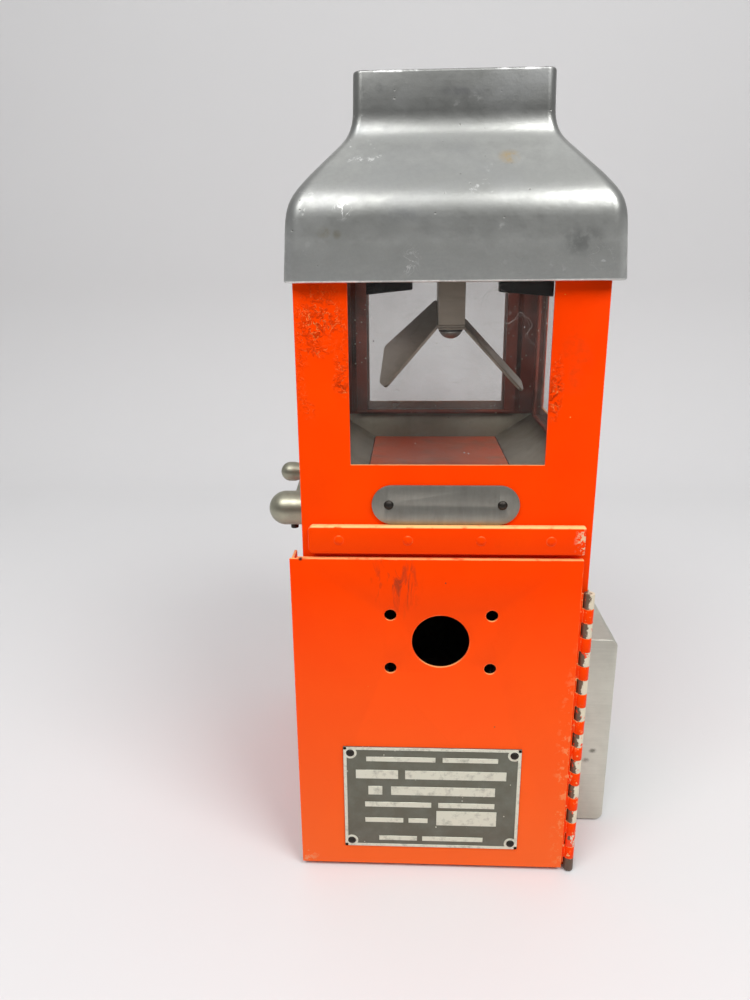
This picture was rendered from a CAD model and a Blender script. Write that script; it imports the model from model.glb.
"""Bus fare box: the finished surfaces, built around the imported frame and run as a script."""

import math

import bmesh
import bpy
from bpy.props import FloatProperty, FloatVectorProperty, IntProperty, PointerProperty
from bpy.types import Operator, Panel, PropertyGroup
from mathutils import Matrix, Vector


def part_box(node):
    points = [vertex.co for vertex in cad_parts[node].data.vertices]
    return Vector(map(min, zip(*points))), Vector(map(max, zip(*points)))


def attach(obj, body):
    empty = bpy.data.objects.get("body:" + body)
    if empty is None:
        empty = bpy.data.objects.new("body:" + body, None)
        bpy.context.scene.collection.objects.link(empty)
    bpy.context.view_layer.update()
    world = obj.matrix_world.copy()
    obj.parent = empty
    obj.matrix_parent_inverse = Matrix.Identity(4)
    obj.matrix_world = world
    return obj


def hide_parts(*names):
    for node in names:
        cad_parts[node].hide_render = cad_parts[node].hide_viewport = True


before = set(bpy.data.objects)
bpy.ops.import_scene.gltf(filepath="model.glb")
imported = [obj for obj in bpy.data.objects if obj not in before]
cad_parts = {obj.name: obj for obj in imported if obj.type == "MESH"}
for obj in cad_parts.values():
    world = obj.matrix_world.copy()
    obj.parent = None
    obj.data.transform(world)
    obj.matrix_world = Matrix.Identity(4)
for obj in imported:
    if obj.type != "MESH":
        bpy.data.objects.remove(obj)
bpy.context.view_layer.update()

bl_info = {
    "name": "Bus fare box",
    "version": (1, 0, 0),
    "blender": (4, 5, 0),
    "location": "View3D > Sidebar > Fare box",
    "description": "Builds the visible pieces of a glazed bus fare box",
    "category": "Object",
}

MM = 0.001
FRONT, LEFT, UP = Vector((0, -1, 0)), Vector((-1, 0, 0)), Vector((0, 0, 1))

# Marks on the front of the hood, in millimetres from its middle and from its lip.
CASTING_STAINS = (  # across, rise, half width, half height, colour, strength
    (30, 62.0, 6.5, 4.5, (0.4, 0.3, 0.16), 0.75),
    (-66, 25, 4.5, 3.5, (0.3, 0.25, 0.13), 0.6),
    (-59, 24, 3, 3, (0.3, 0.25, 0.13), 0.5),
    (5, 96, 16, 3.0, (0.16, 0.16, 0.165), 0.5),
    (-38, 98, 3, 3, (0.12, 0.12, 0.12), 0.6),
    (66, 20, 15, 10, (0.16, 0.165, 0.16), 0.6),
    (-24, 33, 16, 5, (0.2, 0.205, 0.21), 0.5),
    (-50, 78, 8, 5, (0.2, 0.21, 0.21), 0.4),
    (52, 110, 9, 6, (0.25, 0.24, 0.22), 0.4),
)
CASTING_SCRATCHES = ((-56, 35, 6, 5), (-21, 11, 6, 9), (76, 12, 8, 8))

# Raised bars of the name plate, as shares of its height and width.
PLATE_ROWS = (  # height, thickness, spans from left to right
    (0.885, 0.045, ((0.13, 0.52), (0.56, 0.87))),
    (0.735, 0.085, ((0.07, 0.31), (0.35, 0.92))),
    (0.575, 0.085, ((0.14, 0.22), (0.27, 0.86))),
    (0.435, 0.05, ((0.12, 0.5), (0.54, 0.86))),
    (0.275, 0.045, ((0.12, 0.34), (0.37, 0.48))),
    (0.09, 0.045, ((0.2, 0.42), (0.45, 0.8))),
)


# Settings ----------------------------------------------------------------------------------


def length(name, description, default, low=0.0, high=1.0):
    """A size in metres."""
    return FloatProperty(name=name, description=description, default=default, min=low, max=high,
                         unit="LENGTH", precision=5)


def tint(name, description, default):
    """A colour."""
    return FloatVectorProperty(name=name, description=description, default=default, size=3,
                               subtype="COLOR", min=0.0, max=1.0)


class FareboxSizes(PropertyGroup):
    """Sizes of the details that the frame leaves open."""

    edge_round: length("Edge round", "Rounding of cut sheet edges", 0.35 * MM)
    bend_round: length("Bend round", "Rounding of folded sheet edges", 1.1 * MM)
    cast_round: length("Cast round", "Rounding of the hood's lips", 1.3 * MM)
    hood_corner: length("Hood corner", "Plan corner radius of the hood's skirt", 9 * MM)
    hood_setback: length("Hood setback", "Extra half depth of the hood", 23.6 * MM)
    hood_neck: length("Hood neck", "Half width of the hood's neck", 53.8 * MM)
    hood_wall: length("Hood wall", "Thickness of the casting", 6 * MM)
    wing_thickness: length("Wing thickness", "Thickness of the baffle wings", 1.9 * MM)
    corner_steps: IntProperty(name="Corner steps", description="Facets of a rounded corner",
                              default=8, min=2, max=24)
    round_steps: IntProperty(name="Round steps", description="Facets of a turned piece",
                             default=48, min=12, max=128)


class FareboxColours(PropertyGroup):
    """Colours of the finishes."""

    enamel: tint("Enamel", "Orange paint", (0.97, 0.056, 0.0))
    enamel_worn: tint("Worn enamel", "Paint rubbed thin on edges", (0.98, 0.5, 0.18))
    primer: tint("Primer", "Old paint under the chips", (0.16, 0.05, 0.03))
    inner_paint: tint("Inner paint", "Faded red-brown inside the case", (0.36, 0.075, 0.042))
    floor_paint: tint("Floor paint", "Rubbed paint of the inspection plate", (0.75, 0.115, 0.02))
    casting: tint("Casting", "Sanded cast aluminium", (0.485, 0.49, 0.465))
    sheet_alloy: tint("Sheet alloy", "Plain aluminium sheet", (0.66, 0.65, 0.57))
    steel: tint("Steel", "Bare steel", (0.36, 0.35, 0.33))
    dark_steel: tint("Dark steel", "Blackened steel", (0.05, 0.045, 0.04))
    nickel: tint("Nickel", "Nickel silver of the lever", (0.4, 0.39, 0.3))
    funnel: tint("Funnel", "Dull plating of the funnel", (0.34, 0.31, 0.235))
    rubber: tint("Rubber", "Black wedges", (0.003, 0.003, 0.003))
    etched: tint("Etched", "Dark ground of the name plate", (0.125, 0.12, 0.088))
    etched_line: tint("Raised lines", "Bright lines of the name plate", (0.72, 0.72, 0.6))
    dust: tint("Dust", "Dust on the glass", (0.62, 0.6, 0.56))
    cash_paint: tint("Cash box paint", "Grey paint of the cash box", (0.16, 0.17, 0.175))
    backdrop: tint("Backdrop", "Floor and wall", (0.69, 0.685, 0.685))


def sizes():
    return bpy.context.scene.farebox_sizes


def colours():
    return bpy.context.scene.farebox_colours


# Finishes ----------------------------------------------------------------------------------


class Finish:
    """A node material read in object coordinates, built up one layer at a time."""

    def __init__(self, name):
        self.material = bpy.data.materials.new(name)
        self.material.use_nodes = True
        self.tree = self.material.node_tree
        self.shader = self.tree.nodes["Principled BSDF"]
        self.place = self.tree.nodes.new("ShaderNodeTexCoord").outputs["Object"]

    def node(self, kind, **settings):
        made = self.tree.nodes.new(kind)
        for key, value in settings.items():
            setattr(made, key, value)
        return made

    def plug(self, socket, value):
        """Link a socket to another one, or give it a number or a colour."""
        if isinstance(value, bpy.types.NodeSocket):
            self.tree.links.new(value, socket)
        elif hasattr(value, "__len__"):
            value = tuple(value)
            socket.default_value = value + (1.0,) if len(socket.default_value) == 4 else value
        else:
            socket.default_value = value

    def set(self, **values):
        """Set sockets of the shader by name, with _ for a space."""
        for key, value in values.items():
            self.plug(self.shader.inputs[key.replace("_", " ")], value)

    def stretched(self, scale):
        """Object coordinates multiplied by a scale for each axis."""
        made = self.node("ShaderNodeVectorMath", operation="MULTIPLY")
        self.plug(made.inputs[0], self.place)
        made.inputs[1].default_value = scale
        return made.outputs["Vector"]

    def noise(self, scale, detail=3.0, rough=0.55, warp=0.0, place=None):
        made = self.node("ShaderNodeTexNoise")
        self.plug(made.inputs["Vector"], place or self.place)
        for key, value in (("Scale", scale), ("Detail", detail), ("Roughness", rough)):
            made.inputs[key].default_value = value
        made.inputs["Distortion"].default_value = warp
        return made.outputs["Fac"]

    def specks(self, scale, size, share=0.5):
        """Small round spots: 1 inside a spot, on a share of the cells."""
        cells = self.node("ShaderNodeTexVoronoi")
        self.plug(cells.inputs["Vector"], self.place)
        cells.inputs["Scale"].default_value = scale
        near = self.ramp(cells.outputs["Distance"], size, size * 0.5)
        tone = self.node("ShaderNodeSeparateColor")
        self.plug(tone.inputs[0], cells.outputs["Color"])
        return self.math("MULTIPLY", near, self.math("LESS_THAN", tone.outputs[0], share))

    def math(self, operation, a, b=0.0):
        made = self.node("ShaderNodeMath", operation=operation)
        self.plug(made.inputs[0], a)
        self.plug(made.inputs[1], b)
        return made.outputs[0]

    def ramp(self, value, low, high, out_low=0.0, out_high=1.0):
        """Carry a value from one range to another, and hold it at both ends."""
        made = self.node("ShaderNodeMapRange", clamp=True)
        self.plug(made.inputs["Value"], value)
        for key, number in (("From Min", low), ("From Max", high), ("To Min", out_low),
                            ("To Max", out_high)):
            made.inputs[key].default_value = number
        return made.outputs["Result"]

    def mix(self, share, a, b):
        """A colour that goes from a to b as the share goes from 0 to 1."""
        made = self.node("ShaderNodeMix", data_type="RGBA")
        self.plug(made.inputs["Factor"], share)
        colour = [i for i in made.inputs if i.type == "RGBA"]
        self.plug(colour[0], a)
        self.plug(colour[1], b)
        return next(o for o in made.outputs if o.type == "RGBA")

    def blob(self, centre, reach):
        """1 at a point, falling to 0 at its reach along each axis."""
        away = self.node("ShaderNodeVectorMath", operation="SUBTRACT")
        self.plug(away.inputs[0], self.place)
        away.inputs[1].default_value = centre
        part = self.node("ShaderNodeVectorMath", operation="DIVIDE")
        self.plug(part.inputs[0], away.outputs["Vector"])
        part.inputs[1].default_value = reach
        far = self.node("ShaderNodeVectorMath", operation="LENGTH")
        self.plug(far.inputs[0], part.outputs["Vector"])
        return self.ramp(far.outputs["Value"], 1.0, 0.35)

    def edges(self, radius, low=0.03, high=0.22):
        """1 on sharp corners of the piece, 0 on its flats."""
        rounded = self.node("ShaderNodeBevel", samples=4)
        rounded.inputs["Radius"].default_value = radius
        plain = self.node("ShaderNodeNewGeometry")
        dot = self.node("ShaderNodeVectorMath", operation="DOT_PRODUCT")
        self.plug(dot.inputs[0], rounded.outputs["Normal"])
        self.plug(dot.inputs[1], plain.outputs["Normal"])
        return self.ramp(self.math("SUBTRACT", 1.0, dot.outputs["Value"]), low, high)

    def coordinate(self, axis):
        parts = self.node("ShaderNodeSeparateXYZ")
        self.plug(parts.inputs[0], self.place)
        return parts.outputs[axis]

    def bump(self, height, distance, strength=1.0):
        """Add a layer of relief over the layers already there."""
        made = self.node("ShaderNodeBump")
        last = self.shader.inputs["Normal"]
        if last.is_linked:
            self.plug(made.inputs["Normal"], last.links[0].from_socket)
        made.inputs["Strength"].default_value = strength
        made.inputs["Distance"].default_value = distance
        self.plug(made.inputs["Height"], height)
        self.plug(last, made.outputs["Normal"])


finishes = {}


def finish(maker):
    """Each finish is made once and shared."""
    if maker.__name__ not in finishes:
        finishes[maker.__name__] = maker()
    return finishes[maker.__name__]


def worn_enamel(name, base, wear=0.6, gloss=0.3, upper_wear=0.85):
    """Brushed-on orange paint: colour drift, grime and specks, rubbed on edges and upward faces."""
    f, c = Finish(name), colours()
    drift = f.ramp(f.noise(14, 4), 0.3, 0.75)
    colour = f.mix(drift, base, [base[0] * 0.96, base[1] * 0.74, base[2]])
    grime = f.ramp(f.noise(60, 6, 0.7), 0.62, 0.78, 0, 0.14)
    colour = f.mix(grime, colour, (0.5, 0.035, 0.004))
    rub = f.math("MULTIPLY", f.edges(1.0 * MM), f.ramp(f.noise(170, 4, 0.6), 0.38, 0.62))
    rub = f.math("MULTIPLY", rub, wear)
    colour = f.mix(rub, colour, c.enamel_worn)
    normal = f.node("ShaderNodeSeparateXYZ")
    f.plug(normal.inputs[0], f.node("ShaderNodeNewGeometry").outputs["Normal"])
    upper = f.math("MULTIPLY", f.ramp(normal.outputs[2], 0.45, 0.8),
                   f.ramp(f.noise(130, 4), 0.25, 0.45))
    colour = f.mix(f.math("MULTIPLY", upper, upper_wear), colour, (1.0, 0.47, 0.17))
    colour = f.mix(f.specks(150, 0.055, 0.1), colour, (0.92, 0.4, 0.08))
    colour = f.mix(f.specks(95, 0.06, 0.05), colour, c.primer)
    f.set(Base_Color=colour, Roughness=f.ramp(f.noise(35, 5), 0.3, 0.7, gloss, gloss + 0.14))
    f.set(Specular_IOR_Level=0.14, Specular_Tint=(1.0, 0.5, 0.2))
    f.bump(f.noise(520, 3), 0.08 * MM, 0.3)
    f.bump(f.noise(45, 2), 0.5 * MM, 0.12)
    return f, colour


def case_enamel():
    """Orange paint of the case: blistered on both stiles, dirty at the right, faded inside."""
    f, colour = worn_enamel("case_enamel", colours().enamel)
    low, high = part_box("front_panel")
    wrinkle = f.noise(430, 3, 0.6, 0.8)
    blister = f.ramp(wrinkle, 0.46, 0.6)
    left = f.blob((low.x + 14 * MM, low.y, 336 * MM), (19 * MM, 9 * MM, 44 * MM))
    low_left = f.blob((low.x + 24 * MM, low.y, 316 * MM), (9 * MM, 9 * MM, 12 * MM))
    right = f.blob((high.x - 26 * MM, low.y, 318 * MM), (5 * MM, 9 * MM, 22 * MM))
    zone = f.math("MAXIMUM", f.math("MAXIMUM", left, low_left), right)
    zone = f.math("MULTIPLY", zone, f.ramp(f.noise(38, 2), 0.4, 0.55))
    patch = f.math("MULTIPLY", zone, blister)
    colour = f.mix(f.math("MULTIPLY", patch, 0.65), colour, (0.42, 0.03, 0.002))
    crest = f.ramp(f.math("ABSOLUTE", f.math("SUBTRACT", wrinkle, 0.5)), 0.0, 0.022, 1.0, 0.0)
    crest = f.math("MULTIPLY", f.math("MULTIPLY", crest, zone), f.ramp(f.noise(300, 2), 0.48, 0.6))
    colour = f.mix(f.math("MULTIPLY", crest, 0.95), colour, (1.0, 0.5, 0.14))
    dirt = f.blob((high.x - 16 * MM, low.y, 332 * MM), (11 * MM, 9 * MM, 26 * MM))
    dirt = f.math("MULTIPLY", dirt, f.ramp(f.noise(70, 5, 0.7), 0.42, 0.66, 0, 0.45))
    colour = f.mix(dirt, colour, (0.45, 0.05, 0.01))
    faded = f.mix(f.ramp(f.noise(30, 4), 0.35, 0.65), colours().inner_paint, (0.1, 0.034, 0.026))
    faded = f.mix(f.specks(240, 0.2, 0.3), faded, (0.62, 0.45, 0.32))
    colour = f.mix(inner_side(f), colour, faded)
    f.set(Base_Color=colour)
    f.bump(patch, 0.7 * MM, 0.9)
    return f.material


def inner_side(f):
    """1 on the faces of the case that look inwards."""
    normal = f.node("ShaderNodeNewGeometry").outputs["Normal"]
    flat = f.node("ShaderNodeVectorMath", operation="MULTIPLY")
    f.plug(flat.inputs[0], f.place)
    flat.inputs[1].default_value = (-1, -1, 0)
    unit = f.node("ShaderNodeVectorMath", operation="NORMALIZE")
    f.plug(unit.inputs[0], flat.outputs["Vector"])
    dot = f.node("ShaderNodeVectorMath", operation="DOT_PRODUCT")
    f.plug(dot.inputs[0], unit.outputs["Vector"])
    f.plug(dot.inputs[1], normal)
    return f.ramp(dot.outputs["Value"], 0.52, 0.6)


def door_enamel():
    """Orange paint of the door: dirty streaks, a chipped corner and side, and a paler foot."""
    f, colour = worn_enamel("door_enamel", colours().enamel, 0.75)
    low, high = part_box("door_pan")
    streak = f.noise(1, 5, 0.65, 0.6, f.stretched((230, 100, 60)))
    top = f.blob((-29 * MM, low.y, high.z - 14 * MM), (17 * MM, 9 * MM, 26 * MM))
    smudge = f.math("MULTIPLY", top, f.ramp(streak, 0.5, 0.66, 0, 0.7))
    colour = f.mix(smudge, colour, (0.2, 0.035, 0.015))
    chips = f.ramp(f.noise(240, 4, 0.7), 0.56, 0.6)
    corner = f.blob((low.x, low.y, low.z), (13 * MM, 9 * MM, 20 * MM))
    colour = f.mix(f.math("MULTIPLY", chips, corner), colour, (0.8, 0.5, 0.3))
    worn_side = f.blob((high.x, low.y, 60 * MM), (10 * MM, 9 * MM, 110 * MM))
    colour = f.mix(f.math("MULTIPLY", chips, f.math("MULTIPLY", worn_side, 0.5)), colour,
                   (0.85, 0.45, 0.2))
    foot = f.ramp(f.coordinate(2), 205 * MM, 5 * MM, 0.0, 0.62)
    colour = f.mix(foot, colour, (1.0, 0.19, 0.035))
    notch = f.blob((low.x + 6.5 * MM, low.y, high.z), (1.6 * MM, 4 * MM, 1.5 * MM))
    colour = f.mix(notch, colour, (0.05, 0.015, 0.01))
    f.set(Base_Color=colour)
    return f.material


def strip_enamel():
    """Orange paint of the strip, rubbed along its top and chipped at its right end."""
    f, colour = worn_enamel("strip_enamel", colours().enamel, 0.9)
    low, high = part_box("strip_bar")
    chips = f.ramp(f.noise(330, 4, 0.7), 0.5, 0.55)
    end = f.blob((high.x, low.y, (low.z + high.z) / 2), (7 * MM, 9 * MM, 14 * MM))
    colour = f.mix(f.math("MULTIPLY", chips, end), colour, (0.78, 0.5, 0.3))
    rubbed = f.math("MULTIPLY", f.ramp(f.coordinate(2), high.z - 1.0 * MM, high.z - 0.5 * MM),
                    f.ramp(f.noise(150, 3), 0.3, 0.45))
    colour = f.mix(f.math("MULTIPLY", rubbed, 0.92), colour, (1.0, 0.56, 0.22))
    f.set(Base_Color=colour)
    return f.material


def screw_enamel():
    """Orange paint that lies unbroken over the strip's screws."""
    return worn_enamel("screw_enamel", colours().enamel, 0.15)[0].material


def floor_enamel():
    """Rubbed orange-brown paint of the inspection plate, scuffed by coins."""
    f, colour = worn_enamel("floor_enamel", colours().floor_paint, 0.5, 0.45, 0.0)
    scuff = f.ramp(f.noise(26, 6, 0.7, 0.4), 0.45, 0.7, 0, 0.6)
    colour = f.mix(scuff, colour, (0.26, 0.12, 0.07))
    f.set(Base_Color=colour)
    return f.material


def inner_enamel():
    """Faded red-brown paint of the corner angles."""
    f = Finish("inner_enamel")
    colour = f.mix(f.ramp(f.noise(34, 5), 0.35, 0.7), colours().inner_paint, (0.13, 0.045, 0.032))
    colour = f.mix(f.specks(260, 0.2, 0.28), colour, (0.6, 0.44, 0.31))
    f.set(Base_Color=colour, Roughness=0.5)
    f.bump(f.noise(300, 3), 0.1 * MM, 0.4)
    return f.material


def sanded_casting():
    """Cast aluminium, rubbed down by hand: bright skirt and dull neck, mottle, pits and stains."""
    f, c = Finish("sanded_casting"), colours()
    strokes = f.noise(1, 4, 0.6, 0.0, f.stretched((26, 26, 420)))
    mottle = f.noise(95, 6, 0.72)
    stain = f.ramp(f.noise(1, 5, 0.62, 0.6, f.stretched((11, 11, 24))), 0.46, 0.72)
    low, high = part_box("hood")
    height = f.coordinate(2)
    skirt = f.ramp(height, low.z + 34 * MM, low.z + 20 * MM)
    tone = f.mix(skirt, [v * 0.83 for v in c.casting], [v * 1.36 for v in c.casting])
    shoulder = f.math("MULTIPLY", f.ramp(height, low.z + 28 * MM, low.z + 38 * MM),
                      f.ramp(height, low.z + 64 * MM, low.z + 50 * MM))
    tone = f.mix(shoulder, tone, [v * 0.72 for v in c.casting])
    neck = f.ramp(height, high.z - 36 * MM, high.z - 22 * MM)
    tone = f.mix(neck, tone, [v * 0.56 for v in c.casting])
    colour = f.mix(f.ramp(mottle, 0.32, 0.68, 0.0, 0.28), tone, (0.1, 0.1, 0.1))
    colour = f.mix(f.math("MULTIPLY", stain, 0.4), colour, (0.21, 0.215, 0.225))
    pits = f.math("MULTIPLY", f.specks(230, 0.15, 0.12), f.ramp(f.noise(20, 2), 0.42, 0.6))
    colour = f.mix(f.math("MULTIPLY", pits, 0.7), colour, (0.08, 0.075, 0.06))
    chips = f.math("MULTIPLY", f.ramp(f.noise(200, 5, 0.7), 0.6, 0.66),
                   f.ramp(f.noise(24, 2), 0.55, 0.65))
    colour = f.mix(f.math("MULTIPLY", chips, 0.5), colour, (0.8, 0.8, 0.78))
    for x, rise, wide, tall, shade, strong in CASTING_STAINS:
        spot = f.blob((x * MM, low.y + 26 * MM, low.z + rise * MM), (wide * MM, 60 * MM, tall * MM))
        spot = f.math("MULTIPLY", spot, f.ramp(f.noise(170, 5, 0.7), 0.4, 0.55, 0.1, strong))
        colour = f.mix(spot, colour, shade)
    for x, rise, wide, tall in CASTING_SCRATCHES:
        spot = f.blob((x * MM, low.y, low.z + rise * MM), (wide * MM, 60 * MM, tall * MM))
        hair = f.math("ABSOLUTE", f.math("SUBTRACT", f.noise(95, 3, 0.6, 1.6), 0.5))
        hair = f.ramp(hair, 0, 0.02, 1, 0)
        colour = f.mix(f.math("MULTIPLY", spot, hair), colour, (0.95, 0.95, 0.93))
    rims = f.math("MAXIMUM", f.ramp(height, high.z - 1.8 * MM, high.z - 0.8 * MM),
                  f.ramp(height, low.z + 1.4 * MM, low.z + 0.6 * MM))
    rims = f.math("MULTIPLY", rims, f.ramp(f.noise(48, 5, 0.72), 0.5, 0.6, 0.05, 0.85))
    colour = f.mix(rims, colour, (0.86, 0.86, 0.84))
    worn = f.math("MULTIPLY", f.edges(1.6 * MM, 0.05, 0.3), 0.5)
    colour = f.mix(worn, colour, (0.78, 0.78, 0.76))
    rough = f.math("ADD", f.ramp(mottle, 0.3, 0.7, 0.27, 0.4), f.math("MULTIPLY", stain, 0.1))
    f.set(Base_Color=colour, Metallic=0.88, Roughness=rough)
    f.bump(f.noise(60, 4, 0.6), 0.6 * MM, 0.25)
    f.bump(mottle, 0.16 * MM, 0.35)
    f.bump(strokes, 0.07 * MM, 0.3)
    f.bump(f.noise(900, 2), 0.04 * MM, 0.4)
    f.bump(f.math("SUBTRACT", 1.0, pits), 0.3 * MM, 0.5)
    return f.material


def bare_metal(name, base, rough=0.35, grain=(900, 60, 60), stain=0.3, metallic=1.0, dark=0.45):
    """Bare metal with a drawn grain, handling marks and dull stains."""
    f = Finish(name)
    lines = f.noise(1, 3, 0.6, 0.0, f.stretched(grain))
    patch = f.ramp(f.noise(38, 5, 0.65, 0.3), 0.45, 0.72)
    colour = f.mix(f.ramp(lines, 0.3, 0.7), base, [v * 0.85 for v in base])
    colour = f.mix(f.math("MULTIPLY", patch, stain), colour, [v * dark for v in base])
    colour = f.mix(f.math("MULTIPLY", f.edges(0.7 * MM), 0.35), colour,
                   [min(1.0, v * 1.5) for v in base])
    f.set(Base_Color=colour, Metallic=metallic,
          Roughness=f.math("ADD", f.math("MULTIPLY", patch, 0.14), rough))
    f.bump(lines, 0.05 * MM, 0.25)
    f.bump(f.noise(140, 4), 0.15 * MM, 0.15)
    return f.material


def cover_alloy():
    """Sheet aluminium with a faint grain, bright folds and two dull spots."""
    f = Finish("cover_alloy")
    base = colours().sheet_alloy
    lines = f.noise(1, 3, 0.6, 0.0, f.stretched((50, 50, 700)))
    cloud = f.ramp(f.noise(30, 5, 0.65, 0.3), 0.4, 0.75)
    colour = f.mix(f.ramp(lines, 0.3, 0.7), base, [v * 0.93 for v in base])
    colour = f.mix(f.math("MULTIPLY", cloud, 0.3), colour, [v * 0.55 for v in base])
    low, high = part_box("side_cover")
    tall = high.z - low.z
    for across, rise in ((0.42, 0.4), (0.6, 0.345)):
        place = (high.x - across * 25 * MM, low.y, low.z + rise * tall)
        spot = f.blob(place, (3.2 * MM, 60 * MM, 2.4 * MM))
        spot = f.math("MULTIPLY", spot, f.ramp(f.noise(300, 3), 0.4, 0.55, 0.3, 0.75))
        colour = f.mix(spot, colour, (0.12, 0.11, 0.085))
    colour = f.mix(f.math("MULTIPLY", f.edges(0.8 * MM), 0.8), colour, (0.95, 0.94, 0.88))
    f.set(Base_Color=colour, Metallic=0.95, Roughness=f.ramp(cloud, 0, 1, 0.38, 0.5))
    f.bump(lines, 0.03 * MM, 0.2)
    f.bump(f.noise(140, 4), 0.15 * MM, 0.15)
    return f.material


def throat_alloy():
    return bare_metal("throat_alloy", colours().sheet_alloy, 0.36, (60, 700, 60), 0.5)


def screw_steel():
    return bare_metal("screw_steel", colours().steel, 0.32, (300, 300, 300), 0.4)


def baffle_steel():
    return bare_metal("baffle_steel", (0.33, 0.27, 0.21), 0.4, (60, 60, 500), 0.5)


def dark_steel():
    return bare_metal("dark_steel", colours().dark_steel, 0.45, (300, 300, 300), 0.3)


def mechanism_steel():
    return bare_metal("mechanism_steel", (0.45, 0.44, 0.42), 0.3, (900, 90, 90), 0.3)


def channel_steel():
    return bare_metal("channel_steel", (0.16, 0.15, 0.14), 0.5, (60, 60, 300), 0.5)


def bush_bronze():
    return bare_metal("bush_bronze", (0.4, 0.27, 0.12), 0.35, (300, 300, 300), 0.4)


def lever_nickel():
    return bare_metal("lever_nickel", colours().nickel, 0.36, (120, 120, 120), 0.6, 0.9, 0.5)


def blanking_steel():
    return bare_metal("blanking_steel", (0.36, 0.345, 0.305), 0.42, (300, 60, 60), 0.35)


def bail_wire():
    return bare_metal("bail_wire", (0.55, 0.55, 0.54), 0.25, (200, 200, 200), 0.2)


def funnel_plating():
    return bare_metal("funnel_plating", colours().funnel, 0.48, (120, 120, 120), 0.5, 0.55, 0.6)


def cash_paint():
    """Hammered grey paint."""
    f = Finish("cash_paint")
    dents = f.noise(190, 2, 0.4)
    colour = f.mix(f.ramp(dents, 0.35, 0.65), colours().cash_paint, (0.1, 0.105, 0.11))
    colour = f.mix(f.edges(0.9 * MM), colour, (0.35, 0.34, 0.33))
    f.set(Base_Color=colour, Roughness=0.38, Metallic=0.3)
    f.bump(dents, 0.3 * MM, 0.5)
    return f.material


def wedge_rubber():
    f = Finish("wedge_rubber")
    colour = f.mix(f.ramp(f.noise(90, 5), 0.5, 0.75), colours().rubber, (0.016, 0.015, 0.014))
    f.set(Base_Color=colour, Roughness=0.55, Specular_IOR_Level=0.22)
    f.bump(f.noise(400, 4), 0.15 * MM, 0.5)
    return f.material


def hinge_worn():
    """Hinge metal whose paint is mostly rubbed away: pale metal, dark dirt and scraps of orange."""
    f, c = Finish("hinge_worn"), colours()
    low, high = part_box("hinge_pin")
    ragged = f.ramp(f.noise(230, 4, 0.65), 0.3, 0.7, -1.6 * MM, 1.6 * MM)
    across = f.math("ADD", f.coordinate(0), ragged)
    middle = (low.x + high.x) / 2
    dirt = f.ramp(across, middle - 0.1 * MM, middle - 0.7 * MM)
    metal = f.mix(dirt, (0.74, 0.66, 0.5), (0.15, 0.09, 0.055))
    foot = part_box("case_hinge_leaf")[0].z
    height = f.coordinate(2)
    repaint = f.ramp(height, foot + 31 * MM, foot + 29 * MM, 0.0, 0.17)
    left = f.ramp(f.math("ADD", f.noise(260, 4, 0.6), repaint), 0.6, 0.64)
    soot = f.ramp(height, foot + 10 * MM, foot + 9 * MM)
    colour = f.mix(soot, f.mix(left, metal, c.enamel), (0.12, 0.075, 0.05))
    f.set(Base_Color=colour, Metallic=0.35, Roughness=0.42)
    f.bump(left, 0.12 * MM, 0.6)
    return f.material


def hinge_painted():
    """Hinge metal still mostly covered in orange paint."""
    f, colour = worn_enamel("hinge_painted", colours().enamel, 1.0)
    gone = f.ramp(f.noise(210, 4, 0.7), 0.6, 0.66)
    f.set(Base_Color=f.mix(gone, colour, (0.9, 0.5, 0.2)))
    return f.material


def etched_ground():
    """Dark ground of the name plate with a dusty bloom."""
    f = Finish("etched_ground")
    bloom = f.ramp(f.noise(60, 6, 0.7), 0.42, 0.75, 0, 0.5)
    colour = f.mix(bloom, colours().etched, (0.2, 0.215, 0.185))
    colour = f.mix(f.specks(300, 0.14, 0.15), colour, colours().etched_line)
    f.set(Base_Color=colour, Roughness=0.5, Metallic=0.35)
    f.bump(f.noise(600, 3), 0.05 * MM, 0.5)
    return f.material


def etched_line():
    """Raised bright metal of the name plate."""
    f = Finish("etched_line")
    dirt = f.ramp(f.noise(220, 5, 0.7), 0.5, 0.7, 0, 0.55)
    f.set(Base_Color=f.mix(dirt, colours().etched_line, (0.24, 0.24, 0.2)), Roughness=0.42,
          Metallic=0.7)
    f.bump(f.noise(500, 3), 0.05 * MM, 0.4)
    return f.material


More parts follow.
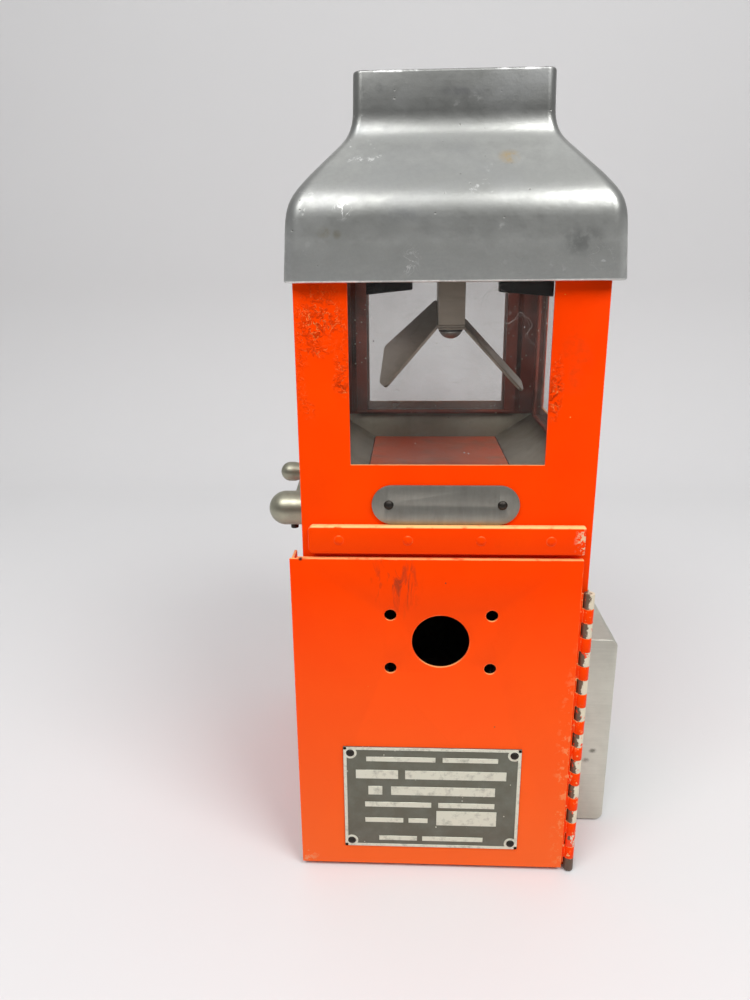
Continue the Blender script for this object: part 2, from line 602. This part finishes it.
def dusty_glass():
    """Old window glass: clear, with a thin film of dust, specks, smears and hair scratches."""
    f = Finish("dusty_glass")
    film = f.ramp(f.noise(17, 5, 0.6, 0.5), 0.4, 0.8, 0.0, 0.035)
    smear = f.ramp(f.noise(1, 4, 0.6, 1.2, f.stretched((70, 70, 260))), 0.62, 0.74, 0, 0.07)
    spots = f.math("MULTIPLY", f.specks(330, 0.14, 0.16),
                   f.ramp(f.noise(26, 3), 0.42, 0.6, 0.15, 0.8))
    grit = f.math("MULTIPLY", f.specks(120, 0.07, 0.14), 0.85)
    hair = f.ramp(f.math("ABSOLUTE", f.math("SUBTRACT", f.noise(16, 2, 0.5, 1.4), 0.5)), 0.0, 0.003,
                  0.3, 0.0)
    hair = f.math("MULTIPLY", hair, f.ramp(f.noise(9, 1), 0.56, 0.62))
    low = f.ramp(f.coordinate(2), 272 * MM, 292 * MM, 0.06, 0.0)
    dust = f.math("ADD", f.math("ADD", film, smear), f.math("ADD", spots, low))
    rear = f.ramp(f.coordinate(1), 80 * MM, 100 * MM, 0.0, 0.24)
    dust = f.math("ADD", dust, f.math("MULTIPLY", rear, f.ramp(f.noise(12, 4), 0.3, 0.7, 0.7, 1.2)))
    sheen = f.node("ShaderNodeFresnel")
    sheen.inputs["IOR"].default_value = 1.45
    dust = f.math("MAXIMUM", f.math("MAXIMUM", dust, grit), hair)
    alpha = f.math("ADD", dust, f.math("MULTIPLY", sheen.outputs["Fac"], 0.3))
    tone = f.mix(f.math("GREATER_THAN", grit, 0.3), colours().dust, (0.1, 0.085, 0.07))
    f.set(Base_Color=tone, Roughness=0.12, Specular_IOR_Level=0.18, Alpha=f.ramp(alpha, 0, 1))
    return f.material


def backdrop_paper():
    f = Finish("backdrop_paper")
    base = colours().backdrop
    f.set(Base_Color=f.mix(f.noise(3, 4), base, [v * 0.97 for v in base]), Roughness=0.7)
    f.set(Specular_IOR_Level=0.25)
    return f.material


# Shapes ------------------------------------------------------------------------------------


def sharpen(bm, limit=math.radians(38)):
    """Shade smooth except across edges sharper than the limit."""
    for face in bm.faces:
        face.smooth = True
    for edge in bm.edges:
        edge.smooth = len(edge.link_faces) == 2 and edge.calc_face_angle(0) < limit


def add_piece(bm, name, maker, body, nodes=(), outward=True):
    """Turn a bmesh into a piece that rides on a body and stands for CAD nodes."""
    if outward:
        bmesh.ops.recalc_face_normals(bm, faces=bm.faces)
    sharpen(bm)
    mesh = bpy.data.meshes.new(name)
    bm.to_mesh(mesh)
    bm.free()
    piece = bpy.data.objects.new(name, mesh)
    bpy.context.scene.collection.objects.link(piece)
    mesh.materials.append(finish(maker))
    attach(piece, body)
    if nodes:
        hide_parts(*nodes)
    return piece


def crisp_edges(bm, angle=30):
    limit = math.radians(angle)
    return [e for e in bm.edges if len(e.link_faces) == 2 and e.calc_face_angle(0) > limit]


def round_edges(bm, edges, offset, segments=2):
    bmesh.ops.bevel(bm, geom=edges, offset=offset, offset_type="OFFSET", affect="EDGES",
                    segments=segments, profile=0.5, material=-1, clamp_overlap=True)


def merged_copy(node):
    """A bmesh of a CAD node with its loose triangles joined and its flats cleaned."""
    bm = bmesh.new()
    bm.from_mesh(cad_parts[node].data)
    bmesh.ops.remove_doubles(bm, verts=bm.verts, dist=0.002 * MM)
    bmesh.ops.dissolve_limit(bm, angle_limit=math.radians(0.5), verts=bm.verts, edges=bm.edges)
    return bm


def rounded_node(node, maker, body, offset=None, segments=2):
    """A CAD node remade with its cut edges rounded."""
    bm = merged_copy(node)
    offset = sizes().edge_round if offset is None else offset
    if offset:
        round_edges(bm, crisp_edges(bm), offset, segments)
    return add_piece(bm, node + "_piece", maker, body, [node], outward=False)


def add_slab(bm, low, high, rounding=0.0, segments=2):
    """A closed block between two corners, with rounded edges."""
    made = bmesh.ops.create_cube(bm, size=1.0)["verts"]
    low, high = Vector(low), Vector(high)
    bmesh.ops.scale(bm, vec=high - low, verts=made)
    bmesh.ops.translate(bm, vec=(low + high) / 2, verts=made)
    if rounding:
        edges = {e for v in made for e in v.link_edges}
        round_edges(bm, list(edges), rounding, segments)


def turn_to(direction):
    """The turn that takes +Z to a direction."""
    return UP.rotation_difference(direction).to_matrix().to_4x4()


def add_turned(bm, profile, place, direction):
    """A closed turned shape: (radius, height) points from its foot on the axis to its tip."""
    verts = [bm.verts.new((r, 0, h)) for r, h in profile]
    edges = [bm.edges.new(pair) for pair in zip(verts, verts[1:])]
    made = bmesh.ops.spin(bm, geom=verts + edges, axis=UP, cent=(0, 0, 0), angle=math.tau,
                          steps=sizes().round_steps, use_merge=True, use_duplicate=False)
    ring = {v for g in (made["geom_last"], verts) for v in g if isinstance(v, bmesh.types.BMVert)}
    shell, queue = set(ring), list(ring)
    while queue:
        for edge in queue.pop().link_edges:
            for v in edge.verts:
                if v not in shell:
                    shell.add(v)
                    queue.append(v)
    bmesh.ops.remove_doubles(bm, verts=list(shell), dist=0.001 * MM)
    shell = [v for v in shell if v.is_valid]
    bmesh.ops.transform(bm, matrix=Matrix.Translation(place) @ turn_to(direction), verts=shell)
    return shell


def dome(radius, height, foot=0.0, steps=6):
    """Profile of a domed head, standing on a foot below it."""
    ball = (radius * radius + height * height) / (2 * height)
    top = math.asin(min(1.0, radius / ball))
    arc = [(ball * math.sin(top * (1 - i / steps)), height - ball
            + ball * math.cos(top * (1 - i / steps))) for i in range(steps + 1)]
    arc[-1] = (0.0, height)
    return [(0.0, -foot), (radius, -foot)] + arc if foot else [(0.0, 0.0)] + arc


def add_outline(bm, points, rounding=0.0, segments=6):
    """A flat face through points, with its corners rounded."""
    face = bm.faces.new([bm.verts.new(p) for p in points])
    if rounding:
        bmesh.ops.bevel(bm, geom=list(face.verts), offset=rounding, offset_type="OFFSET",
                        affect="VERTICES", segments=segments, profile=0.5, material=-1)
        face = max((x for x in bm.faces if x.is_valid), key=lambda x: x.calc_area())
    return face


def thicken(bm, face, depth):
    """Extrude a face into a closed plate."""
    made = bmesh.ops.extrude_face_region(bm, geom=[face], use_keep_orig=True)["geom"]
    bmesh.ops.translate(bm, vec=depth, verts=[v for v in made if isinstance(v, bmesh.types.BMVert)])


# Pieces ------------------------------------------------------------------------------------


def curve_points(p, steps):
    """Points on a cubic curve."""
    made = []
    for i in range(steps + 1):
        t = i / steps
        u = 1 - t
        made.append(u * u * u * p[0] + 3 * u * u * t * p[1] + 3 * u * t * t * p[2] + t * t * t * p[3])
    return made


def hood_profile():
    """(half width, height) of the hood, outside from the lip up and inside from the rim down."""
    s = sizes()
    low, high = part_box("hood")
    wide, foot, top, neck = (high.x - low.x) / 2, low.z, high.z, s.hood_neck

    def point(x, z):
        return Vector((x, z))

    # The skirt bends in over the shoulder, and a straight slope leads to the bend up into the neck.
    skirt = point(wide - 1.2 * MM, foot + 20 * MM)
    shoulder = point(wide - 14.4 * MM, top - 52.4 * MM)
    slope = point(neck + 9 * MM, top - 38.5 * MM)
    collar = point(neck + 0.5 * MM, top - 20 * MM)
    bend = [skirt, skirt + point(-0.7 * MM, 19 * MM),
            shoulder + point(11.3 * MM, -12.8 * MM), shoulder]
    throat = [slope, slope + point(-5 * MM, 5.1 * MM), collar + point(0.4 * MM, -9 * MM), collar]
    outer = [point(wide, foot)] + curve_points(bend, 12) + curve_points(throat, 12)
    outer.append(point(neck, top))
    wall = point(s.hood_wall, 0)
    # Inside, the rim steps in under the throat plate, and the lip is recessed over the case.
    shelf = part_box("throat_plate")[0].z
    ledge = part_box("front_panel")[1].z
    rim, lip = neck - 5 * MM, neck - 8 * MM
    inner = [point(rim, top), point(rim, shelf), point(lip, shelf), point(lip, shelf - 5 * MM)]
    inner += [p - wall for p in reversed(curve_points(throat, 6)) if p.y < shelf - 8 * MM]
    inner += [p - wall for p in reversed(curve_points(bend, 6)) if p.y > ledge + 24 * MM]
    seat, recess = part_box("front_panel")[1].x - 6 * MM, wide - 4.6 * MM
    inner += [point(seat, ledge + 18 * MM), point(seat, ledge), point(recess, ledge),
              point(recess, foot)]
    return outer, inner


def make_hood():
    """The casting, drawn out ring by ring from its outer lip to its inner one, and its screws."""
    s = sizes()
    outer, inner = hood_profile()
    levels = outer + inner
    bm = bmesh.new()
    start = levels[0]
    deep = start.x + s.hood_setback
    corners = [(x * start.x, y * deep, start.y) for x, y in ((-1, -1), (1, -1), (1, 1), (-1, 1))]
    face = add_outline(bm, corners, s.hood_corner, s.corner_steps)
    first = loop = list(face.edges)
    bmesh.ops.delete(bm, geom=[face], context="FACES_ONLY")
    for before, level in zip(levels, levels[1:]):
        made = bmesh.ops.extrude_edge_only(bm, edges=loop)["geom"]
        verts = [v for v in made if isinstance(v, bmesh.types.BMVert)]
        loop = [e for e in made if isinstance(e, bmesh.types.BMEdge)]
        stretch = (level.x / before.x, (level.x + s.hood_setback) / (before.x + s.hood_setback), 1)
        bmesh.ops.scale(bm, vec=stretch, verts=verts)
        bmesh.ops.translate(bm, vec=(0, 0, level.y - before.y), verts=verts)
    bmesh.ops.bridge_loops(bm, edges=first + loop)
    round_edges(bm, crisp_edges(bm, 50), s.cast_round, 3)
    low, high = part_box("hood")
    bmesh.ops.translate(bm, vec=((low.x + high.x) / 2, 0, 0), verts=bm.verts)
    add_piece(bm, "cast_hood", sanded_casting, "root", ["hood"])
    rounded_node("hood_screws", screw_steel, "root", 0.15 * MM)


def make_case():
    for node in ("front_panel", "back_panel", "left_panel", "right_panel", "base_plate"):
        rounded_node(node, case_enamel, "root")
    rounded_node("lower_corner_posts", case_enamel, "root")
    rounded_node("upper_corner_posts", inner_enamel, "root")
    rounded_node("case_rivets", case_enamel, "root", 0)


def make_windows():
    for node in ("front_glass", "back_glass", "left_glass", "right_glass"):
        rounded_node(node, dusty_glass, "root", 0.3 * MM)
    rounded_node("glass_channels", inner_enamel, "root", 0.25 * MM)
    rounded_node("glass_wedges", wedge_rubber, "root", 0.7 * MM, 3)


def make_throat():
    rounded_node("throat_plate", throat_alloy, "root", 0.4 * MM)
    rounded_node("throat_screws", screw_steel, "root", 0.12 * MM)


def add_wing(bm, start, slope, outline, rounding):
    """A flat wing that starts at a corner, rises by its slopes and is thickened downwards."""
    points = [Vector((x, y, start.z + slope[0] * (x - start.x) + slope[1] * (y - start.y)))
              for x, y in outline]
    face = add_outline(bm, points, rounding)
    face.normal_update()
    down = -face.normal if face.normal.z > 0 else face.normal
    thicken(bm, face, down * sizes().wing_thickness)
    bmesh.ops.recalc_face_normals(bm, faces=bm.faces)
    round_edges(bm, crisp_edges(bm, 50), 0.45 * MM, 2)


def make_baffle():
    """The hanger, its two bent wings, the screw and its lock washer."""
    rounded_node("baffle_hanger", baffle_steel, "root", 0.9 * MM, 3)
    low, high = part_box("baffle_hanger")
    tab = 1.4 * MM
    tab_y = (low.y + 1 * MM, low.y + 22 * MM)
    for side, x0, x1, top, slope in (
            ("left", low.x - 1 * MM, high.x, low.z - 0.01 * MM, (1.227, 0.56)),
            ("right", low.x, high.x + 1 * MM, low.z - tab - 0.01 * MM, (-1.069, 0.199))):
        inner = low.x - 0.6 * MM if side == "left" else high.x + 0.6 * MM
        start = Vector((inner, -68 * MM, low.z if side == "left" else top))
        if side == "left":
            outline = ((inner, start.y), (-36.8 * MM, -64.8 * MM), (-40.3 * MM, -55 * MM),
                       (-38.1 * MM, -25.6 * MM), (inner, -43 * MM))
        else:
            outline = ((inner, start.y), (46.6 * MM, -66.4 * MM), (48.2 * MM, -58 * MM),
                       (49.4 * MM, -41 * MM), (inner + 1.2 * MM, -42 * MM))
        bm = bmesh.new()
        add_wing(bm, start, slope, outline, 2.6 * MM)
        add_slab(bm, (x0, tab_y[0], top - tab), (x1, tab_y[1], top), 0.3 * MM)
        node = f"baffle_{side}_wing"
        add_piece(bm, node + "_piece", baffle_steel, "root", [node])
    rounded_node("baffle_lock_washer", dark_steel, "root", 0.2 * MM)
    rounded_node("baffle_screw", screw_steel, "root", 0.2 * MM)


def make_funnel():
    rounded_node("coin_funnel", funnel_plating, "root", 0.3 * MM)
    rounded_node("funnel_rails", channel_steel, "root", 0.25 * MM)


def make_dump():
    rounded_node("inspection_plate", floor_enamel, "dump", 0.4 * MM)
    for node in ("plate_lugs", "dump_shaft", "shaft_collar"):
        rounded_node(node, mechanism_steel, "dump", 0.3 * MM)
    for node in ("left_bush", "right_bush"):
        rounded_node(node, bush_bronze, "root", 0.3 * MM)
    for node in ("stop_pin", "spring_post"):
        rounded_node(node, channel_steel, "root", 0.3 * MM)
    spring = rounded_node("return_spring", mechanism_steel, "root", 0)
    smooth = spring.modifiers.new("round_wire", "SUBSURF")
    smooth.levels = smooth.render_levels = 1


def make_lever():
    """Domed hub, flat arm and thumb knob in one nickel-silver casting."""
    low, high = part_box("dump_lever")
    shaft_low, shaft_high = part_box("dump_shaft")
    axis = (shaft_low + shaft_high) / 2
    hub, knob, dome_height = 11 * MM, 6.75 * MM, 10.2 * MM
    arm_from, arm_root, arm_tip, arm_depth = 5 * MM, 9.5 * MM, 6 * MM, 6.3 * MM
    hub_straight = high.x - low.x - dome_height
    knob_place = Vector((high.x, high.y - knob, high.z - knob))
    hub_place = Vector((high.x, axis.y, axis.z))
    bm = bmesh.new()
    hub_profile = [(0, 0), (hub - 0.8 * MM, 0), (hub, 0.8 * MM), (hub, hub_straight)]
    hub_profile += [(r, h + hub_straight) for r, h in dome(hub, dome_height, 0, 10)[2:]]
    add_turned(bm, hub_profile, hub_place, LEFT)
    knob_profile = [(0, 0), (knob - 0.6 * MM, 0), (knob, 0.7 * MM), (knob - 0.7 * MM, 6 * MM),
                    (knob - 0.9 * MM, 9 * MM), (knob, 13 * MM), (knob, 17 * MM)]
    knob_profile += [(r, h + 17 * MM) for r, h in dome(knob, 6 * MM, 0, 8)[2:]]
    add_turned(bm, knob_profile, knob_place, LEFT)
    reach = knob_place - hub_place
    side = Vector((0, -reach.z, reach.y)).normalized()
    start = hub_place + reach.normalized() * arm_from
    outline = [start + side * arm_root, start - side * arm_root, knob_place - side * arm_tip,
               knob_place + side * arm_tip]
    face = bm.faces.new([bm.verts.new(p) for p in outline])
    before = set(bm.edges)
    thicken(bm, face, LEFT * arm_depth)
    arm = [e for e in bm.edges if e not in before or e in face.edges]
    round_edges(bm, arm, 1.3 * MM, 4)
    add_piece(bm, "dump_lever_piece", lever_nickel, "dump", ["dump_lever"])
    rounded_node("lever_set_screw", dark_steel, "dump", 0.3 * MM)


def make_trim():
    """The strip over the door, and the round-ended plate with its rivets."""
    s = sizes()
    rounded_node("strip_bar", strip_enamel, "root", 0.9 * MM, 3)
    rounded_node("strip_screws", screw_enamel, "root", 0)
    rounded_node("blanking_plate", blanking_steel, "root", s.edge_round, 2)
    rounded_node("blanking_rivets", dark_steel, "root", 0)
    rounded_node("lock_keeper", channel_steel, "root")


def make_door():
    rounded_node("door_pan", door_enamel, "door", sizes().edge_round * 1.6, 3)


def make_hinge():
    rounded_node("case_hinge_leaf", hinge_worn, "root", 0.35 * MM)
    rounded_node("door_hinge_leaf", hinge_painted, "door", 0.35 * MM)
    rounded_node("hinge_pin", mechanism_steel, "root", 0.3 * MM)
    rounded_node("hinge_rivets", case_enamel, "root", 0)


def make_nameplate():
    """The etched plate, its raised border, its plain raised bars and four drive screws."""
    low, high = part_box("nameplate")
    face_y = low.y + 0.2 * MM
    bm = bmesh.new()
    add_slab(bm, (low.x, face_y, low.z), (high.x, high.y, high.z), 0.3 * MM)
    add_piece(bm, "nameplate_ground", etched_ground, "door", ["nameplate"])
    bm = bmesh.new()
    raised = low.y
    back_y = face_y + 0.1 * MM
    wide, tall, line, inset = high.x - low.x, high.z - low.z, 2.0 * MM, 0.15 * MM
    for z in (low.z + inset, high.z - inset - line):
        add_slab(bm, (low.x + inset, raised, z), (high.x - inset, back_y, z + line), 0.08 * MM, 1)
    for x in (low.x + inset, high.x - inset - line):
        add_slab(bm, (x, raised, low.z + inset), (x + line, back_y, high.z - inset), 0.08 * MM, 1)
    corner, pad_height = 4.5 * MM, 0.29 * MM
    pad = [(0, 0), (4.1 * MM, 0), (4.1 * MM, 0.24 * MM), (4.0 * MM, pad_height), (0, pad_height)]
    for x in (low.x + corner, high.x - corner):
        for z in (low.z + corner, high.z - corner):
            add_turned(bm, pad, Vector((x, back_y, z)), FRONT)
    for height, thick, spans in PLATE_ROWS:
        for a, b in spans:
            z = low.z + tall * height
            add_slab(bm, (low.x + wide * a, raised, z - tall * thick / 2),
                     (low.x + wide * b, back_y, z + tall * thick / 2), 0.09 * MM, 1)
    add_slab(bm, (-3 * MM, raised, 35 * MM), (35.5 * MM, back_y, 46 * MM), 0.08 * MM, 1)
    add_piece(bm, "nameplate_lines", etched_line, "door")
    rounded_node("nameplate_screws", dark_steel, "door", 0)


def make_cash_box():
    for node in ("cash_box", "cash_box_lid"):
        rounded_node(node, cash_paint, "root", 0.5 * MM)
    rounded_node("cash_box_handle", bail_wire, "cash_box_handle", 0)
    rounded_node("cash_box_guides", channel_steel, "root", 0.3 * MM)


def make_side_cover():
    rounded_node("side_cover", cover_alloy, "root", 0.5 * MM, 3)
    rounded_node("side_cover_screws", screw_steel, "root", 0.15 * MM)


def soft_light(name, place, target, size, power, colour=(1, 1, 1)):
    data = bpy.data.lights.new(name, "AREA")
    data.shape, data.size, data.size_y = "RECTANGLE", size[0], size[1]
    data.energy, data.color = power, colour
    lamp = bpy.data.objects.new(name, data)
    bpy.context.scene.collection.objects.link(lamp)
    lamp.location = place
    lamp.rotation_euler = (Vector(target) - Vector(place)).to_track_quat("-Z", "Y").to_euler()


def make_world(scene):
    """A pale room: brightest overhead, softer behind, and dim in front above a grey floor."""
    world = bpy.data.worlds.new("studio")
    world.use_nodes = True
    tree = world.node_tree
    parts = tree.nodes.new("ShaderNodeSeparateXYZ")
    tree.links.new(parts.inputs[0], tree.nodes.new("ShaderNodeTexCoord").outputs["Generated"])
    shares = []
    for axis, low, high, out_low, out_high in (
            (2, 0.22, 0.78, 0.15, 1.0), (1, -0.85, 0.1, 0.15, 0.62), (2, -0.12, 0.03, 0.45, 0.15)):
        ramp = tree.nodes.new("ShaderNodeMapRange")
        ramp.interpolation_type = "SMOOTHSTEP"
        tree.links.new(ramp.inputs["Value"], parts.outputs[axis])
        for key, number in (("From Min", low), ("From Max", high), ("To Min", out_low),
                            ("To Max", out_high)):
            ramp.inputs[key].default_value = number
        shares.append(ramp.outputs["Result"])
    brightest = shares[0]
    for share in shares[1:]:
        choice = tree.nodes.new("ShaderNodeMath")
        choice.operation = "MAXIMUM"
        tree.links.new(choice.inputs[0], brightest)
        tree.links.new(choice.inputs[1], share)
        brightest = choice.outputs[0]
    sky = tree.nodes["Background"]
    sky.inputs["Color"].default_value = (0.67, 0.676, 0.69, 1.0)
    tree.links.new(sky.inputs["Strength"], brightest)
    scene.world = world


def make_stage():
    """Camera, pale floor swept up into a wall, and soft studio light."""
    scene = bpy.context.scene
    data = bpy.data.cameras.new("camera")
    data.sensor_width, data.lens = 36.0, 27.16
    camera = bpy.data.objects.new("camera", data)
    scene.collection.objects.link(camera)
    camera.location = (-21.1 * MM, -522.2 * MM, 381.6 * MM)
    tilt, yaw, roll = 0.299, 0.048, -0.010
    turn = Matrix.Rotation(yaw, 4, "Z") @ Matrix.Rotation(math.pi / 2 - tilt, 4, "X")
    camera.rotation_euler = (turn @ Matrix.Rotation(roll, 4, "Z")).to_euler()
    data.clip_start = 0.01
    scene.camera = camera

    half, near, far, sweep, rise = 3, -0.8, 0.75, 0.35, 2.5
    bm = bmesh.new()
    face = add_outline(bm, [(-half, near, 0), (half, near, 0), (half, far, 0), (-half, far, 0)])
    back = [e for e in face.edges if all(v.co.y > 0 for v in e.verts)]
    bend = bmesh.ops.spin(bm, geom=back + list(back[0].verts), axis=(1, 0, 0), cent=(0, far, sweep),
                          angle=math.pi / 2, steps=16, use_duplicate=False)["geom_last"]
    edge = [e for e in bend if isinstance(e, bmesh.types.BMEdge)]
    wall = bmesh.ops.extrude_edge_only(bm, edges=edge)["geom"]
    bmesh.ops.translate(bm, vec=(0, 0, rise),
                        verts=[v for v in wall if isinstance(v, bmesh.types.BMVert)])
    sharpen(bm, math.radians(60))
    mesh = bpy.data.meshes.new("backdrop")
    bm.to_mesh(mesh)
    bm.free()
    backdrop = bpy.data.objects.new("backdrop", mesh)
    scene.collection.objects.link(backdrop)
    mesh.materials.append(finish(backdrop_paper))

    make_world(scene)
    soft_light("key", (-0.65, -1.05, 1.75), (0, 0, 0.25), (0.9, 0.9), 18)
    soft_light("fill", (0.85, -1.0, 1.75), (0, 0, 0.2), (0.9, 0.9), 23)
    soft_light("top", (0.0, 0.3, 1.9), (0, 0, 0.3), (1.4, 1.2), 2)
    scene.view_settings.view_transform = "Standard"


# Operators -----------------------------------------------------------------------------------


class FAREBOX_OT_stage(Operator):
    """Add the camera, the floor and the lights"""

    bl_idname = "farebox.stage"
    bl_label = "Stage"
    bl_options = {"REGISTER", "UNDO"}

    def execute(self, context):
        make_stage()
        return {"FINISHED"}


class FAREBOX_OT_hood(Operator):
    """Add the cast hood and its screws"""

    bl_idname = "farebox.hood"
    bl_label = "Hood"
    bl_options = {"REGISTER", "UNDO"}

    def execute(self, context):
        make_hood()
        return {"FINISHED"}


class FAREBOX_OT_case(Operator):
    """Add the case panels, corner angles, base and rivets"""

    bl_idname = "farebox.case"
    bl_label = "Case"
    bl_options = {"REGISTER", "UNDO"}

    def execute(self, context):
        make_case()
        return {"FINISHED"}


class FAREBOX_OT_windows(Operator):
    """Add the four panes, their channels and the wedges"""

    bl_idname = "farebox.windows"
    bl_label = "Windows"
    bl_options = {"REGISTER", "UNDO"}

    def execute(self, context):
        make_windows()
        return {"FINISHED"}


class FAREBOX_OT_throat(Operator):
    """Add the slotted throat plate and its screws"""

    bl_idname = "farebox.throat"
    bl_label = "Throat plate"
    bl_options = {"REGISTER", "UNDO"}

    def execute(self, context):
        make_throat()
        return {"FINISHED"}


class FAREBOX_OT_baffle(Operator):
    """Add the baffle hanger, wings, screw and washer"""

    bl_idname = "farebox.baffle"
    bl_label = "Baffle"
    bl_options = {"REGISTER", "UNDO"}

    def execute(self, context):
        make_baffle()
        return {"FINISHED"}


class FAREBOX_OT_funnel(Operator):
    """Add the coin funnel and its rails"""

    bl_idname = "farebox.funnel"
    bl_label = "Coin funnel"
    bl_options = {"REGISTER", "UNDO"}

    def execute(self, context):
        make_funnel()
        return {"FINISHED"}


class FAREBOX_OT_dump(Operator):
    """Add the inspection plate, shaft, bushes, collar and spring"""

    bl_idname = "farebox.dump"
    bl_label = "Dump mechanism"
    bl_options = {"REGISTER", "UNDO"}

    def execute(self, context):
        make_dump()
        return {"FINISHED"}


class FAREBOX_OT_lever(Operator):
    """Add the dump lever and its set screw"""

    bl_idname = "farebox.lever"
    bl_label = "Dump lever"
    bl_options = {"REGISTER", "UNDO"}

    def execute(self, context):
        make_lever()
        return {"FINISHED"}


class FAREBOX_OT_trim(Operator):
    """Add the strip bar, the blanking plate and their fasteners"""

    bl_idname = "farebox.trim"
    bl_label = "Front trim"
    bl_options = {"REGISTER", "UNDO"}

    def execute(self, context):
        make_trim()
        return {"FINISHED"}


class FAREBOX_OT_door(Operator):
    """Add the door pan"""

    bl_idname = "farebox.door"
    bl_label = "Door"
    bl_options = {"REGISTER", "UNDO"}

    def execute(self, context):
        make_door()
        return {"FINISHED"}


class FAREBOX_OT_hinge(Operator):
    """Add the hinge leaves, pin and rivets"""

    bl_idname = "farebox.hinge"
    bl_label = "Hinge"
    bl_options = {"REGISTER", "UNDO"}

    def execute(self, context):
        make_hinge()
        return {"FINISHED"}


class FAREBOX_OT_nameplate(Operator):
    """Add the blank name plate and its drive screws"""

    bl_idname = "farebox.nameplate"
    bl_label = "Name plate"
    bl_options = {"REGISTER", "UNDO"}

    def execute(self, context):
        make_nameplate()
        return {"FINISHED"}


class FAREBOX_OT_cash_box(Operator):
    """Add the cash box, its lid, bail and guides"""

    bl_idname = "farebox.cash_box"
    bl_label = "Cash box"
    bl_options = {"REGISTER", "UNDO"}

    def execute(self, context):
        make_cash_box()
        return {"FINISHED"}


class FAREBOX_OT_side_cover(Operator):
    """Add the aluminium side cover and its screws"""

    bl_idname = "farebox.side_cover"
    bl_label = "Side cover"
    bl_options = {"REGISTER", "UNDO"}

    def execute(self, context):
        make_side_cover()
        return {"FINISHED"}


OPERATORS = (
    FAREBOX_OT_stage, FAREBOX_OT_hood, FAREBOX_OT_case, FAREBOX_OT_windows, FAREBOX_OT_throat,
    FAREBOX_OT_baffle, FAREBOX_OT_funnel, FAREBOX_OT_dump, FAREBOX_OT_lever, FAREBOX_OT_trim,
    FAREBOX_OT_door, FAREBOX_OT_hinge, FAREBOX_OT_nameplate, FAREBOX_OT_cash_box,
    FAREBOX_OT_side_cover,
)


class FAREBOX_PT_panel(Panel):
    """Sizes, colours and the pieces of the fare box"""

    bl_label = "Fare box"
    bl_idname = "FAREBOX_PT_panel"
    bl_space_type = "VIEW_3D"
    bl_region_type = "UI"
    bl_category = "Fare box"

    def draw(self, context):
        for group in (context.scene.farebox_sizes, context.scene.farebox_colours):
            box = self.layout.box()
            for name in group.__annotations__:
                box.prop(group, name)
        for operator in OPERATORS:
            self.layout.operator(operator.bl_idname)


CLASSES = (FareboxSizes, FareboxColours, *OPERATORS, FAREBOX_PT_panel)


def register():
    for cls in CLASSES:
        bpy.utils.register_class(cls)
    bpy.types.Scene.farebox_sizes = PointerProperty(type=FareboxSizes)
    bpy.types.Scene.farebox_colours = PointerProperty(type=FareboxColours)


def unregister():
    del bpy.types.Scene.farebox_colours
    del bpy.types.Scene.farebox_sizes
    for cls in reversed(CLASSES):
        bpy.utils.unregister_class(cls)


def main():
    """Make everything in order, and write the box of the frame and of the finished object."""
    register()
    for operator in OPERATORS:
        getattr(bpy.ops.farebox, operator.bl_idname.split(".")[1])()


if __name__ == "__main__":
    main()
